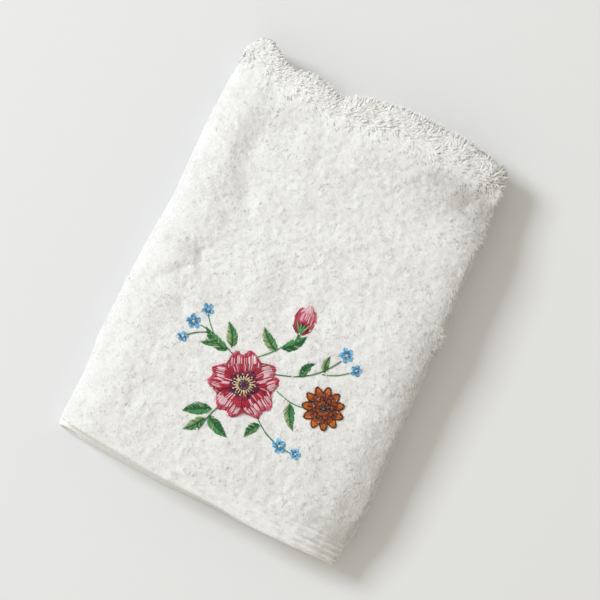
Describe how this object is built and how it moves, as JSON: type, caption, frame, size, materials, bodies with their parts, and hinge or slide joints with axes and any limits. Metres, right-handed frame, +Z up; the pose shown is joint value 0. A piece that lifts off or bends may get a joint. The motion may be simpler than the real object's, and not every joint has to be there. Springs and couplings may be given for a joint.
{
  "type": "folded washcloth",
  "caption": "Square terry washcloth with a hemmed edge and a stitched flower spray, folded in thirds and then in half to lie flat.",
  "frame": {"origin": "under the middle of the folded cloth, on the plane that it rests on", "axes": "+Y along the folded length, from the hemmed end to the end fold; +X across the folded width; +Z up through the layers"},
  "size_m": [0.1184, 0.1682, 0.0191],
  "materials": {
    "terry": "white cotton terry with a soft matt pile",
    "embroidery_thread": "twisted rayon embroidery thread with a silky sheen"
  },
  "bodies": {
    "root": {"washcloth": "terry"}
  },
  "joints": []
}
